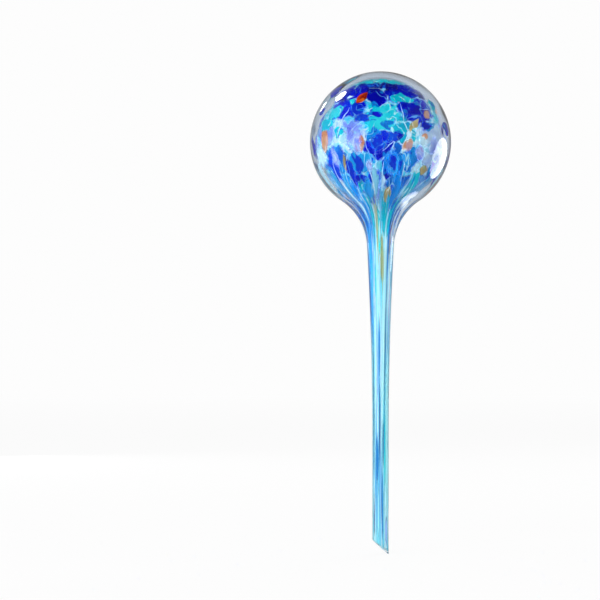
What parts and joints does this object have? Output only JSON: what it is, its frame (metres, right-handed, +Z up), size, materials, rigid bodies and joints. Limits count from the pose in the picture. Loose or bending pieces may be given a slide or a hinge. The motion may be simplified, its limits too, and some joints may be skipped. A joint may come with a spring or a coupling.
{
  "type": "watering globe",
  "caption": "Blown glass watering globe with a round reservoir bulb, a curved neck and a long hollow stem cut aslant at the tip, with marbled blue colour glass under a clear casing.",
  "frame": {"origin": "on the axis of the stem at the soil line, the top of its straight end", "axes": "+Z up along the stem towards the bulb, -Y the pictured side, +X the long side of the cut tip"},
  "size_m": [0.076, 0.076, 0.26],
  "materials": {
    "clear_glass": "fire-polished",
    "navy_glass": "fire-polished",
    "cobalt_glass": "fire-polished",
    "azure_glass": "fire-polished",
    "turquoise_glass": "fire-polished",
    "lilac_glass": "fire-polished",
    "salmon_glass": "fire-polished",
    "coral_glass": "fire-polished",
    "gold_glass": "fire-polished",
    "aqua_glass": "fire-polished",
    "opal_glass": "fire-polished"
  },
  "bodies": {
    "root": {"bulb_casing": "clear_glass", "neck_casing": "clear_glass", "stem_casing": "clear_glass", "bulb_bubble": "opal_glass", "neck_bubble": "opal_glass", "stem_bubble": "opal_glass", "navy_patches": "navy_glass", "cobalt_patches": "cobalt_glass", "azure_patches": "azure_glass", "turquoise_patches": "turquoise_glass", "lilac_patches": "lilac_glass", "navy_chips": "navy_glass", "cobalt_chips": "cobalt_glass", "azure_chips": "azure_glass", "turquoise_chips": "turquoise_glass", "lilac_chips": "lilac_glass", "salmon_chips": "salmon_glass", "coral_chips": "coral_glass", "gold_chips": "gold_glass", "cobalt_streaks": "cobalt_glass", "azure_streaks": "azure_glass", "turquoise_streaks": "turquoise_glass", "aqua_streaks": "aqua_glass", "gold_streaks": "gold_glass", "opal_streaks": "opal_glass"}
  },
  "joints": []
}
